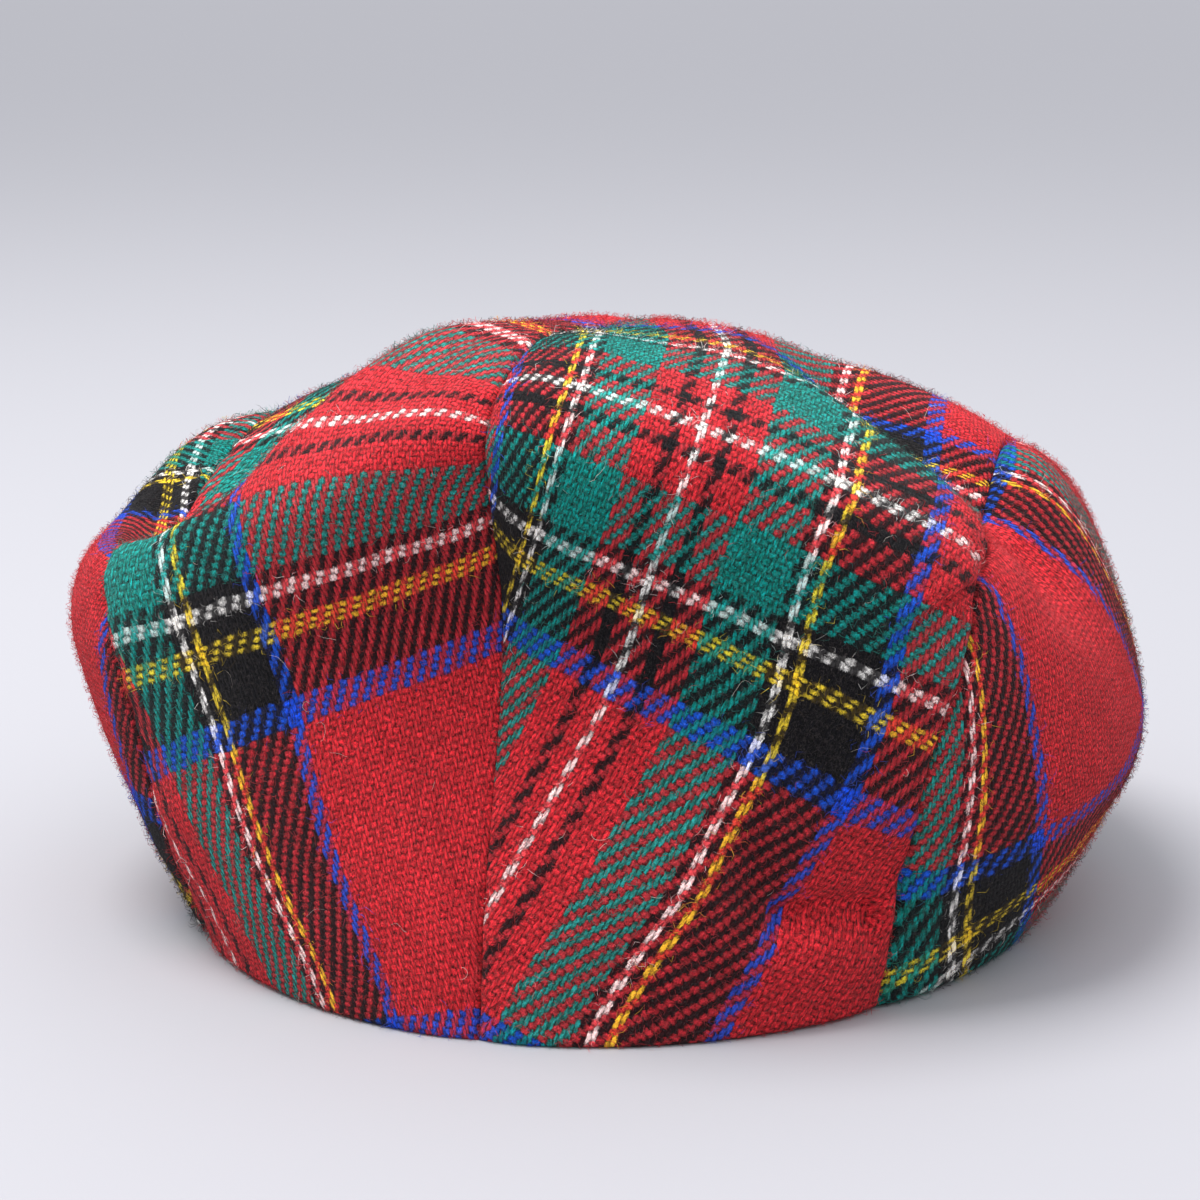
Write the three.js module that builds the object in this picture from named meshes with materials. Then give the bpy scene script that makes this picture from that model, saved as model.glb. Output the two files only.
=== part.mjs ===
// Tartan flat cap in soft wool: two top panels joined by a centre seam, a half-moon panel on each side
// below the shoulder seams, and a stiff peak under the front of the crown.
// Millimetres, +Z up. The back of the cap faces +Y, the peak faces -Y, the wearer's right is -X.
// The origin lies on the surface that the cap rests on, under the middle of its box.
import * as THREE from 'three';
import { mergeVertices } from 'three/addons/utils/BufferGeometryUtils.js';

// Head opening: an oval of 59 cm round, and its middle from the origin.
const rimHalfWidth = 88;
const rimHalfLength = 99;
const rimCentreX = -1;
const rimCentreY = 28;

// Cloth.
const clothThick = 2;
const hemThick = 2;
const hemUp = 0.07;
const seamHalfGap = 0.0012;
const clearance = 0.3;

// Peak and the front of the crown that lies on it.
const peakFrom = 122;
const peakReach = 56;
const peakThick = 3.6;
const peakLipTop = 4.6;
const crownOverhang = 20;
const peakCurve = 0.6;
const frontLift = 14;
const liftFrom = 110;
const liftSpan = 46;

// Crown, one row for each upright section through the middle of the head opening.
// at: degrees from the back, positive towards the wearer's right. Each R is a distance from the
// middle, each Z a height: the wall over the rim, the widest or narrowest place of the side, the
// roll at the shoulder, the dip behind the roll, and the flank of the dome.
const sectionColumns = ['at', 'wallR', 'wallZ', 'waistR', 'waistZ', 'rollR', 'rollZ', 'dipR', 'dipZ',
  'domeR', 'domeZ'];
const sections = [
  [-180, 121, 20, 117, 34, 105, 48, 80, 72, 45, 100],
  [-150, 114, 20, 113, 34, 104, 52, 80, 76, 45, 101],
  [-120, 100, 28, 105, 52, 98, 74, 76, 89, 45, 105],
  [-90, 98, 30, 107, 60, 93, 86, 72, 97, 45, 109],
  [-60, 104, 31, 112, 60, 104, 78, 80, 84, 46, 110],
  [-30, 100, 28, 99, 60, 98, 90, 78, 103, 45, 117],
  [0, 94.5, 24, 82, 70, 91, 106, 70, 120, 40, 120],
  [30, 97, 28, 94, 62, 92, 96, 76, 112, 45, 118],
  [60, 102, 28, 105, 48, 98, 76, 80, 92, 45, 114],
  [90, 99, 20, 106, 42, 90, 86, 72, 99, 45, 111],
  [120, 100, 28, 105, 48, 96, 74, 76, 90, 45, 106],
  [150, 114, 20, 113, 34, 104, 52, 80, 76, 45, 101],
].map((row) => Object.fromEntries(sectionColumns.map((name, i) => [name, row[i]])));
const sectionStep = 30;
const domeTop = 117.5;
const knotCount = 6;

// Folds and dents. Each runs from one place to another on the crown: at in degrees as above, up from
// 0 at the rim to 1 at the middle of the top. deep is how far it sinks, or stands up where it is
// negative; wide is how far it spreads to each side, on the flat disc described below.
const foldColumns = ['fromAt', 'fromUp', 'toAt', 'toUp', 'deep', 'wide'];
const folds = [
  [-70, 0.53, -48, 0.61, 6, 0.06],
  [-48, 0.61, -66, 0.80, 7, 0.065],
  [-32, 0.66, -28, 0.78, -4, 0.07],
  [76, 0.50, 80, 0.80, 10, 0.06],
  [30, 0.165, 44, 0.155, 4, 0.05],
].map((row) => Object.fromEntries(foldColumns.map((name, i) => [name, row[i]])));
const foldFade = 0.08;

// How far apart on the disc two places are when a slope is worked out between them, how near the
// edge of the disc counts as the rim, and how near two corners of a solid are when they are one.
const slopeStep = 0.004;
const seamStep = 0.01;
const atRim = 1e-6;
const sameCorner = 1e-3;

// Shoulder seam from the back of the rim, over the shoulder and down to the front of the rim.
const seamColumns = ['at', 'up'];
const shoulderSeam = [
  [46, 0], [46.5, 0.15], [48, 0.30], [53, 0.43], [59, 0.54], [70, 0.60], [90, 0.62], [104, 0.60],
  [118, 0.50], [128, 0.30], [132, 0],
].map((row) => Object.fromEntries(seamColumns.map((name, i) => [name, row[i]])));

const cells = { along: 36, topAcross: 18, sideUp: 9, peakAlong: 28, peakOut: 5 };

const tartanRed = new THREE.Color(0.55, 0.04, 0.05);

function degreesFromBack(at) {
  return Math.abs(((at % 360) + 540) % 360 - 180);
}

// Catmull-Rom between b and c.
function blend4(a, b, c, d, t) {
  const bend = 2 * a - 5 * b + 4 * c - d;
  const twist = -a + 3 * b - 3 * c + d;
  return 0.5 * (2 * b + (c - a) * t + bend * t * t + twist * t ** 3);
}

function smooth(x) {
  const t = Math.min(Math.max(x, 0), 1);
  return t * t * (3 - 2 * t);
}

// A section's sizes at any angle, from the four nearest rows.
function sectionAt(at) {
  const place = (at - sections[0].at) / sectionStep;
  const first = Math.floor(place);
  const t = place - first;
  const near = [-1, 0, 1, 2].map((k) => sections[(first + k + 2 * sections.length) % sections.length]);
  const sizes = {};
  for (const name of sectionColumns.slice(1)) {
    sizes[name] = blend4(near[0][name], near[1][name], near[2][name], near[3][name], t);
  }
  return sizes;
}

function rimRadius(at) {
  const a = THREE.MathUtils.degToRad(at);
  return 1 / Math.hypot(Math.sin(a) / rimHalfWidth, Math.cos(a) / rimHalfLength);
}

// 0 where the peak starts at the sides, 1 at the middle of the front.
function frontShare(at) {
  const share = (degreesFromBack(at) - peakFrom) / (180 - peakFrom);
  return Math.sin(Math.min(Math.max(share, 0), 1) * Math.PI / 2);
}

// Height of the peak's upper face at a distance r from the middle.
function peakTop(at, r) {
  const inner = rimRadius(at) - clothThick - hemThick;
  const outer = rimRadius(at) + peakReach * frontShare(at);
  const out = Math.min(Math.max((r - inner) / (outer - inner), 0), 1);
  const high = frontLift * smooth((degreesFromBack(at) - liftFrom) / liftSpan);
  const low = Math.min(high, peakLipTop);
  return high + (low - high) * out * (1 - peakCurve + peakCurve * out);
}

// Height of the crown's lower edge: on the ground, and at the front just over the peak.
function edgeHeight(at, r) {
  const lift = smooth((degreesFromBack(at) - liftFrom) / (peakFrom - liftFrom));
  return peakTop(at, r) + clearance * lift;
}

function fromMiddle(at, r, z) {
  const a = THREE.MathUtils.degToRad(at);
  return new THREE.Vector3(rimCentreX - r * Math.sin(a), rimCentreY + r * Math.cos(a), z);
}

// The crown is drawn on a flat disc of radius 1: its edge is the rim, its middle the top.
function onDisc(at, up) {
  const a = THREE.MathUtils.degToRad(at);
  return new THREE.Vector2((1 - up) * Math.sin(a), (1 - up) * Math.cos(a));
}

function discPlace(p) {
  return { at: THREE.MathUtils.radToDeg(Math.atan2(p.x, p.y)), up: 1 - p.length() };
}

// Crown without its folds.
function plainCrown(p) {
  const { at, up } = discPlace(p);
  const size = sectionAt(at);
  const rimR = rimRadius(at) + crownOverhang * frontShare(at);
  const rimZ = edgeHeight(at, rimR);
  const r = [rimR, size.wallR, size.waistR, size.rollR, size.dipR, size.domeR, 0];
  const z = [rimZ, size.wallZ, size.waistZ, size.rollZ, size.dipZ, size.domeZ, domeTop];
  r.unshift(2 * r[0] - r[1]);
  z.unshift(2 * z[0] - z[1]);
  r.push(-size.domeR);
  z.push(size.domeZ);
  const i = Math.min(Math.max(Math.floor(up * knotCount), 0), knotCount - 1);
  const t = up * knotCount - i;
  return fromMiddle(at, blend4(r[i], r[i + 1], r[i + 2], r[i + 3], t),
    blend4(z[i], z[i + 1], z[i + 2], z[i + 3], t));
}

function crownNormal(p) {
  const near = (x, y) => plainCrown(new THREE.Vector2(p.x + x, p.y + y));
  const alongX = near(slopeStep, 0).sub(near(-slopeStep, 0));
  const alongY = near(0, slopeStep).sub(near(0, -slopeStep));
  return alongY.cross(alongX).normalize();
}

function distanceToSegment(p, from, to) {
  const run = to.clone().sub(from);
  const t = Math.min(Math.max(p.clone().sub(from).dot(run) / run.lengthSq(), 0), 1);
  return p.distanceTo(from.clone().addScaledVector(run, t));
}

function foldDepth(p) {
  let depth = 0;
  for (const fold of folds) {
    const away = distanceToSegment(p, onDisc(fold.fromAt, fold.fromUp), onDisc(fold.toAt, fold.toUp));
    depth += fold.deep * Math.exp(-((away / fold.wide) ** 2));
  }
  return depth * Math.min(Math.max(discPlace(p).up / foldFade, 0), 1);
}

// Outer and inner face of the cloth at a place on the disc.
function clothAt(p) {
  const { at, up } = discPlace(p);
  const outer = plainCrown(p);
  const normal = crownNormal(p);
  outer.addScaledVector(normal, -foldDepth(p));
  if (up < atRim) {
    const r = rimRadius(at) + crownOverhang * frontShare(at);
    const innerR = r - clothThick - hemThick;
    return { outer: fromMiddle(at, r, edgeHeight(at, r)),
      inner: fromMiddle(at, innerR, edgeHeight(at, innerR)) };
  }
  const thick = clothThick + hemThick * smooth(2 - up / hemUp);
  return { outer, inner: outer.clone().addScaledVector(normal, -thick) };
}

// One closed solid between two grids of points, with a strip of faces along each edge.
function shell(outer, inner) {
  const rows = outer.length;
  const columns = outer[0].length;
  const points = [...outer.flat(), ...inner.flat()];
  const faces = [];
  const quad = (a, b, c, d) => faces.push([a, b, c], [a, c, d]);
  const top = (i, j) => i * columns + j;
  const under = (i, j) => rows * columns + i * columns + j;
  const last = columns - 1;
  for (let i = 0; i + 1 < rows; i += 1) {
    for (let j = 0; j + 1 < columns; j += 1) {
      quad(top(i, j), top(i + 1, j), top(i + 1, j + 1), top(i, j + 1));
      quad(under(i, j), under(i, j + 1), under(i + 1, j + 1), under(i + 1, j));
    }
  }
  for (let i = 0; i + 1 < rows; i += 1) {
    quad(top(i, 0), under(i, 0), under(i + 1, 0), top(i + 1, 0));
    quad(top(i, last), top(i + 1, last), under(i + 1, last), under(i, last));
  }
  for (let j = 0; j + 1 < columns; j += 1) {
    quad(top(0, j), top(0, j + 1), under(0, j + 1), under(0, j));
    quad(top(rows - 1, j), under(rows - 1, j), under(rows - 1, j + 1), top(rows - 1, j + 1));
  }
  const plain = new THREE.BufferGeometry();
  plain.setAttribute('position', new THREE.Float32BufferAttribute(points.flatMap((v) => v.toArray()), 3));
  plain.setIndex(faces.flat());
  return facingOut(mergeVertices(plain, sameCorner));
}

// Drops the faces that shrink to nothing at a panel's tips, and turns the solid right side out.
function facingOut(geometry) {
  const index = geometry.index.array;
  const place = geometry.attributes.position;
  const corner = (k) => new THREE.Vector3().fromBufferAttribute(place, k);
  const kept = [];
  let volume = 0;
  for (let i = 0; i < index.length; i += 3) {
    const [a, b, c] = index.slice(i, i + 3);
    if (a !== b && b !== c && a !== c) {
      kept.push([a, b, c]);
      volume += corner(a).dot(corner(b).cross(corner(c)));
    }
  }
  geometry.setIndex(kept.flatMap(([a, b, c]) => (volume > 0 ? [a, b, c] : [a, c, b])));
  geometry.computeVertexNormals();
  return geometry;
}

// Shoulder seam on the disc, t from 0 at the back to 1 at the front, moved sideways by half a gap.
function shoulderAt(side, t, shift) {
  const last = shoulderSeam.length - 1;
  const place = (x) => {
    const i = Math.min(Math.floor(x * last), last - 1);
    const near = [-1, 0, 1, 2].map((k) => shoulderSeam[Math.min(Math.max(i + k, 0), last)]);
    const at = blend4(near[0].at, near[1].at, near[2].at, near[3].at, x * last - i);
    const up = blend4(near[0].up, near[1].up, near[2].up, near[3].up, x * last - i);
    return onDisc(side * at, Math.max(up, 0));
  };
  const run = place(Math.min(t + seamStep, 1)).sub(place(Math.max(t - seamStep, 0))).normalize();
  const p = place(t).add(new THREE.Vector2(-run.y, run.x).multiplyScalar(side * shift));
  return t === 0 || t === 1 ? p.normalize() : p;
}

function rimArc(fromAt, toAt, t) {
  return onDisc(fromAt + (toAt - fromAt) * t, 0);
}

function clothPanel(rows, columns, place) {
  const outer = [];
  const inner = [];
  for (let i = 0; i <= rows; i += 1) {
    const cloth = [];
    for (let j = 0; j <= columns; j += 1) {
      cloth.push(clothAt(place(i / rows, j / columns)));
    }
    outer.push(cloth.map((c) => c.outer));
    inner.push(cloth.map((c) => c.inner));
  }
  return shell(outer, inner);
}

// Half of the top, a patch drawn between the centre seam, the shoulder seam and the rim at both ends.
function topPanel(side) {
  const centre = (v) => new THREE.Vector2(side * seamHalfGap, 1 - 2 * v).clampLength(0, 1);
  const shoulder = (v) => shoulderAt(side, v, -seamHalfGap);
  const rimEnd = (v, u) => rimArc(discPlace(centre(v)).at, discPlace(shoulder(v)).at, u);
  return clothPanel(cells.along, cells.topAcross, (v, u) => {
    const across = centre(v).lerp(shoulder(v), u);
    const along = rimEnd(0, u).lerp(rimEnd(1, u), v);
    const straight = centre(0).lerp(shoulder(0), u).lerp(centre(1).lerp(shoulder(1), u), v);
    return across.add(along).sub(straight);
  });
}

// Half-moon between the rim and the shoulder seam.
function sidePanel(side) {
  const shoulder = (t) => shoulderAt(side, t, seamHalfGap);
  const backAt = discPlace(shoulder(0)).at;
  const frontAt = discPlace(shoulder(1)).at;
  return clothPanel(cells.along, cells.sideUp, (t, u) => rimArc(backAt, frontAt, t).lerp(shoulder(t), u));
}

// Crescent plate, lifted in the middle of the front, sloping down to its lip.
function peak() {
  const outer = [];
  const inner = [];
  for (let i = 0; i <= cells.peakAlong; i += 1) {
    const at = peakFrom + (360 - 2 * peakFrom) * i / cells.peakAlong;
    const from = rimRadius(at) - clothThick - hemThick;
    const to = rimRadius(at) + peakReach * frontShare(at);
    const radii = [];
    for (let j = 0; j <= cells.peakOut; j += 1) {
      radii.push(from + (to - from) * j / cells.peakOut);
    }
    outer.push(radii.map((r) => fromMiddle(at, r, peakTop(at, r))));
    inner.push(radii.map((r) => fromMiddle(at, r, Math.max(peakTop(at, r) - peakThick, 0))));
  }
  return shell(outer, inner);
}

function cloth(name, geometry) {
  const mesh = new THREE.Mesh(geometry, new THREE.MeshStandardMaterial({
    color: tartanRed, roughness: 0.95, metalness: 0 }));
  mesh.name = name;
  return mesh;
}

const cap = new THREE.Group();
cap.add(cloth('top_left_panel', topPanel(-1)));
cap.add(cloth('top_right_panel', topPanel(1)));
cap.add(cloth('side_left_panel', sidePanel(-1)));
cap.add(cloth('side_right_panel', sidePanel(1)));
cap.add(cloth('peak', peak()));

export default cap;
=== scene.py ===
import math
import bpy
import numpy as np
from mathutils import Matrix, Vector


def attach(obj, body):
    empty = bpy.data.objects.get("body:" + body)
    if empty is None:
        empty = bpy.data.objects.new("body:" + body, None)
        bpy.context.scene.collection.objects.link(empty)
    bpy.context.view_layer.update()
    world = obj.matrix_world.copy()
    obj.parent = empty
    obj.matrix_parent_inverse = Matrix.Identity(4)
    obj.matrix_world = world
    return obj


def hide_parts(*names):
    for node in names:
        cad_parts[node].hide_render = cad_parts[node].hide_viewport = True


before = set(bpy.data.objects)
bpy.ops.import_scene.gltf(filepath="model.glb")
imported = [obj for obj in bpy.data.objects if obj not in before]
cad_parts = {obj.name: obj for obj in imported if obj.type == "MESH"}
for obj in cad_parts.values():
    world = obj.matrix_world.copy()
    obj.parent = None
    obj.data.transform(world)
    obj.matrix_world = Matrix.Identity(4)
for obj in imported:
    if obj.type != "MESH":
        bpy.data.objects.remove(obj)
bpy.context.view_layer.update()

mm = 0.001
print("frame loaded")


# The crown as the solids have it. Lengths in millimetres, at in degrees from the back,
# positive towards the wearer's right, and up from 0 at the rim to 1 at the top.
crown = {
    "rimHalfWidth": 88,
    "rimHalfLength": 99,
    "rimCentre": (-1, 28),
    "clothThick": 2,
    "hemThick": 2,
    "hemUp": 0.07,
    "overhang": 20,         # of the front edge over the rim
    "domeTop": 117.5,
    "spans": 6,             # from the rim over wall, waist, roll, dip and dome to the top
    "sectionStep": 30,
    # at, then radius and height of the wall, the waist, the roll, the dip and the dome
    "sections": [
        (-180, 121, 20, 117, 34, 105, 48, 80, 72, 45, 100),
        (-150, 114, 20, 113, 34, 104, 52, 80, 76, 45, 101),
        (-120, 100, 28, 105, 52, 98, 74, 76, 89, 45, 105),
        (-90, 98, 30, 107, 60, 93, 88, 72, 97, 45, 109),
        (-60, 104, 31, 112, 60, 104, 78, 80, 84, 46, 110),
        (-30, 100, 28, 99, 60, 98, 90, 78, 103, 45, 117),
        (0, 94.5, 24, 82, 70, 91, 106, 70, 120, 40, 120),
        (30, 97, 28, 94, 62, 92, 96, 76, 112, 45, 118),
        (60, 102, 28, 105, 48, 98, 76, 80, 92, 45, 114),
        (90, 99, 20, 106, 42, 90, 86, 72, 99, 45, 111),
        (120, 100, 28, 105, 48, 96, 74, 76, 90, 45, 106),
        (150, 114, 20, 113, 34, 104, 52, 80, 76, 45, 101),
    ],
    # from at and up, to at and up, how deep, how wide on the disc
    "folds": [
        (-70, 0.53, -48, 0.61, 6, 0.06),
        (-48, 0.61, -66, 0.80, 7, 0.065),
        (-32, 0.66, -28, 0.78, -4, 0.07),
        (76, 0.50, 80, 0.80, 10, 0.06),
        (30, 0.165, 44, 0.155, 4, 0.05),
    ],
    "foldFade": 0.08,       # they fade out this close to the rim
    # at and up
    "shoulderSeam": [
        (46, 0), (46.5, 0.15), (48, 0.30), (53, 0.43), (59, 0.54), (70, 0.60), (90, 0.62),
        (104, 0.60), (118, 0.50), (128, 0.30), (132, 0),
    ],
    "seamHalfGap": 0.0005,
    "seamStep": 0.01,       # share of the seam over which its direction is taken
    "seamPoints": 500,
    "normalStep": 0.004,
    "rimZone": 1e-6,        # points this close to the rim lie on it
    "rimInset": 1e-9,       # and are kept this far inside
}

peak = {
    "from": 122,            # where it starts at each side, degrees from the back
    "reach": 56,
    "thick": 3.6,
    "lipTop": 4.6,
    "curve": 0.6,
    "frontLift": 14,
    "liftFrom": 110,
    "liftSpan": 46,
    "clearance": 0.3,
    "edgeRoll": 1.7,
    "rollShare": 2.1,       # its thickness over the edge's roll radius where it gets thin
    "leastRoll": 0.01,
    "rows": 181,
    "columns": (40, 0.006),
}


# One value, or a row of width values, for each vertex, edge, corner or triangle.
def readAll(items, key, width=1, kind=np.float32):
    values = np.empty(len(items) * width, kind)
    items.foreach_get(key, values)
    return values.reshape(-1, width) if width > 1 else values


# A smooth curve from b at t = 0 to c at t = 1.
def blend4(a, b, c, d, t):
    bend = 2 * a - 5 * b + 4 * c - d
    twist = -a + 3 * b - 3 * c + d
    return 0.5 * (2 * b + (c - a) * t + bend * t * t + twist * t ** 3)


def smooth(x):
    t = np.clip(x, 0, 1)
    return t * t * (3 - 2 * t)


def fromBack(at):
    return np.abs((at + 540) % 360 - 180)


def rimRadius(at):
    a = np.radians(at)
    return 1 / np.hypot(np.sin(a) / crown["rimHalfWidth"], np.cos(a) / crown["rimHalfLength"])


def frontShare(at):
    share = (fromBack(at) - peak["from"]) / (180 - peak["from"])
    return np.sin(np.clip(share, 0, 1) * math.pi / 2)


def peakTop(at, r):
    inner = rimRadius(at) - crown["clothThick"] - crown["hemThick"]
    outer = rimRadius(at) + peak["reach"] * frontShare(at)
    out = np.clip((r - inner) / (outer - inner), 0, 1)
    high = peak["frontLift"] * smooth((fromBack(at) - peak["liftFrom"]) / peak["liftSpan"])
    low = np.minimum(high, peak["lipTop"])
    return high + (low - high) * out * (1 - peak["curve"] + peak["curve"] * out)


def edgeHeight(at, r):
    lift = smooth((fromBack(at) - peak["liftFrom"]) / (peak["from"] - peak["liftFrom"]))
    return peakTop(at, r) + peak["clearance"] * lift


def fromMiddle(at, r, z):
    a = np.radians(at)
    x, y = crown["rimCentre"]
    return np.stack([x - r * np.sin(a), y + r * np.cos(a), z], axis=-1)


# The crown is drawn on a flat disc of radius 1, with the rim as its edge and the top in the
# middle.
def onDisc(at, up):
    a = np.radians(at)
    return np.stack([(1 - up) * np.sin(a), (1 - up) * np.cos(a)], axis=-1)


def discPlace(p):
    return np.degrees(np.arctan2(p[..., 0], p[..., 1])), 1 - np.hypot(p[..., 0], p[..., 1])


# Place in space, in millimetres, of a place on the disc, before the folds.
def crownAt(p):
    at, up = discPlace(p)
    table = np.array(crown["sections"], float)
    place = (at - table[0, 0]) / crown["sectionStep"]
    first = np.floor(place).astype(int)
    rows = [table[(first + k) % len(table), 1:] for k in (-1, 0, 1, 2)]
    size = blend4(*rows, (place - first)[..., None])
    rimR = rimRadius(at) + crown["overhang"] * frontShare(at)
    rimZ = edgeHeight(at, rimR)
    top = np.full_like(at, crown["domeTop"])
    r = [rimR, *np.moveaxis(size[..., 0::2], -1, 0), 0 * at, -size[..., 8]]
    z = [rimZ, *np.moveaxis(size[..., 1::2], -1, 0), top, size[..., 9]]
    r = np.stack([2 * r[0] - r[1], *r])
    z = np.stack([2 * z[0] - z[1], *z])
    i = np.clip(np.floor(up * crown["spans"]).astype(int), 0, crown["spans"] - 1)
    t = up * crown["spans"] - i

    def knots(values):
        return [np.take_along_axis(values, (i + k)[None], 0)[0] for k in range(4)]

    return fromMiddle(at, blend4(*knots(r), t), blend4(*knots(z), t))


def atRim(p):
    return discPlace(p)[1] < crown["rimZone"]


def crownNormal(p):
    step = crown["normalStep"]
    alongX = crownAt(p + (step, 0)) - crownAt(p - (step, 0))
    alongY = crownAt(p + (0, step)) - crownAt(p - (0, step))
    n = np.cross(alongY, alongX)
    return n / np.linalg.norm(n, axis=-1, keepdims=True)


# How far rows of straight hollows press the cloth in at places on the disc.
def dentDepth(p, dents):
    depth = 0
    for fromAt, fromUp, toAt, toUp, deep, wide in dents:
        start = onDisc(fromAt, fromUp)
        run = onDisc(toAt, toUp) - start
        t = np.clip((p - start) @ run / (run @ run), 0, 1)
        away = np.linalg.norm(p - start - t[..., None] * run, axis=-1)
        depth = depth + deep * np.exp(-(away / wide) ** 2)
    return depth


def foldDepth(p):
    return dentDepth(p, crown["folds"]) * np.clip(discPlace(p)[1] / crown["foldFade"], 0, 1)


# A place on a shoulder seam, moved sideways on the disc by shift. Both ends lie on the rim.
def shoulderAt(side, t, shift):
    seam = np.array(crown["shoulderSeam"], float)
    last = len(seam) - 1

    def place(x):
        i = np.minimum(np.floor(x * last).astype(int), last - 1)
        near = [seam[np.clip(i + k, 0, last)] for k in (-1, 0, 1, 2)]
        at, up = np.moveaxis(blend4(*near, (x * last - i)[..., None]), -1, 0)
        return onDisc(side * at, np.maximum(up, 0))

    step = crown["seamStep"]
    run = place(np.minimum(t + step, 1)) - place(np.maximum(t - step, 0))
    run /= np.linalg.norm(run, axis=-1, keepdims=True)
    p = place(t) + np.stack([-run[..., 1], run[..., 0]], axis=-1) * side * shift
    ends = ((t == 0) | (t == 1))[..., None]
    return np.where(ends, p / np.linalg.norm(p, axis=-1, keepdims=True), p)


def rimArc(fromAt, toAt, t):
    return onDisc(fromAt + (toAt - fromAt) * t, 0 * t)


# A top panel fills the disc between the centre seam, its shoulder seam and the rim at both ends.
def topDisc(side, along, across):
    gap = crown["seamHalfGap"]
    u, v = across[..., None], along[..., None]

    def centre(w):
        p = np.stack([side * gap + 0 * w, 1 - 2 * w], axis=-1)
        return p / np.maximum(np.linalg.norm(p, axis=-1, keepdims=True), 1)

    def ruled(w):
        return centre(w) * (1 - u) + shoulderAt(side, w, -gap) * u

    def rimEnd(w):
        return rimArc(discPlace(centre(w))[0], discPlace(shoulderAt(side, w, -gap))[0], across)

    back, front = 0 * along, 0 * along + 1
    ends = rimEnd(back) * (1 - v) + rimEnd(front) * v
    return ruled(along) + ends - ruled(back) * (1 - v) - ruled(front) * v


# A side panel is the half-moon between its shoulder seam and the rim.
def sideDisc(side, along, across):
    gap = crown["seamHalfGap"]
    back, front = 0 * along, 0 * along + 1
    low = rimArc(discPlace(shoulderAt(side, back, gap))[0],
                 discPlace(shoulderAt(side, front, gap))[0], along)
    return low * (1 - across[..., None]) + shoulderAt(side, along, gap) * across[..., None]


# Places from 0 to 1, evenly spread, with finer steps towards both ends.
def fineEnds(count, first, grow=1.35):
    steps = [first]
    while steps[-1] * grow < 1 / count:
        steps.append(steps[-1] * grow)
    middle = 1 - 2 * sum(steps)
    n = math.ceil(middle * count)
    places = np.cumsum([0, *steps, *[middle / n] * n, *steps[::-1]])
    return places / places[-1]


# Lengths in millimetres.
cloth = {
    "seamRoll": 1.7,        # radius of the turned edge along a seam
    "seamDip": 0.9,         # the wider hollow beside it
    "seamDipWide": 5,
    "seamAllowance": 1.6,   # ridge of turned-in cloth on the inside
    "allowanceWide": 4,
    "allowanceCalm": 6,     # it fades out this close to the rim
    "hemRoll": 1.7,
    "hemRollInside": 0.9,   # share of that roll on the inner face
    "hemZone": 0.2,         # how far up the disc the rim's edge reaches
    # right panel beside the centre seam: height, how far from it, where along it, over what length
    "puff": (3.2, 11, 98, 26),
    "puffReach": 0.4,       # on the disc
    # columns as in the crown's folds, but only in the cloth
    "creases": [(32, 0.132, 43, 0.113, 4.5, 0.021)],
    "pucker": 0.22,
    "puckerWide": 7,
    "puckerEvery": 9,
    "puckerDrift": (1.5, 7),        # uneven spacing: radians, and over what length
    "wave": 0.35,
    "waveLength": (16, 55),
    "waves": 28,
    "waveGrowth": 0.8,      # power by which a wave's height grows with its length
    "wavesTogether": 3.7,   # brings their sum back to about 1
    "wavePhase": 6.28,      # radians
    "calm": 12,             # waves and puckers fade out this close to the rim
    "seed": 4,
}


# Points along a seam and how far along it each one lies.
def seamLine(side, name):
    t = np.linspace(0, 1, crown["seamPoints"])
    if name == "centre":
        p = np.stack([0 * t, 1 - 2 * t], axis=-1)
    else:
        p = shoulderAt(side, t, 0)
    line = crownAt(p)
    line = line - crownNormal(p) * foldDepth(p)[:, None]
    length = np.concatenate([[0], np.cumsum(np.linalg.norm(np.diff(line, axis=0), axis=1))])
    return line, length


# How far each point is from the nearest seam, and where along that seam.
def nearSeam(points, seams, atOnce=4000):
    best, along = np.full(len(points), np.inf), np.zeros(len(points))
    for side, name in seams:
        line, length = seamLine(side, name)
        for start in range(0, len(points), atOnce):
            part = slice(start, start + atOnce)
            away = np.linalg.norm(points[part, None] - line[None], axis=-1)
            k = away.argmin(axis=1)
            near = away[np.arange(len(k)), k]
            closer = near < best[part]
            best[part] = np.where(closer, near, best[part])
            along[part] = np.where(closer, length[k], along[part])
    return best, along


# Long soft waves every way through space, from about -1 to 1.
def waves(points):
    dice = np.random.default_rng(cloth["seed"])
    total = 0
    for _ in range(cloth["waves"]):
        way = dice.normal(size=3)
        way /= np.linalg.norm(way)
        length = math.exp(dice.uniform(*np.log(cloth["waveLength"])))
        size = (length / cloth["waveLength"][1]) ** cloth["waveGrowth"]
        phase = dice.uniform(0, cloth["wavePhase"])
        total = total + size * np.sin(points @ way * 2 * math.pi / length + phase)
    return total / cloth["wavesTogether"]


# How far a rounded edge drops at a distance from its end.
def turned(away, radius):
    x = np.clip(1 - away / radius, 0, 1)
    return radius * (1 - np.sqrt(1 - x * x))


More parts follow.
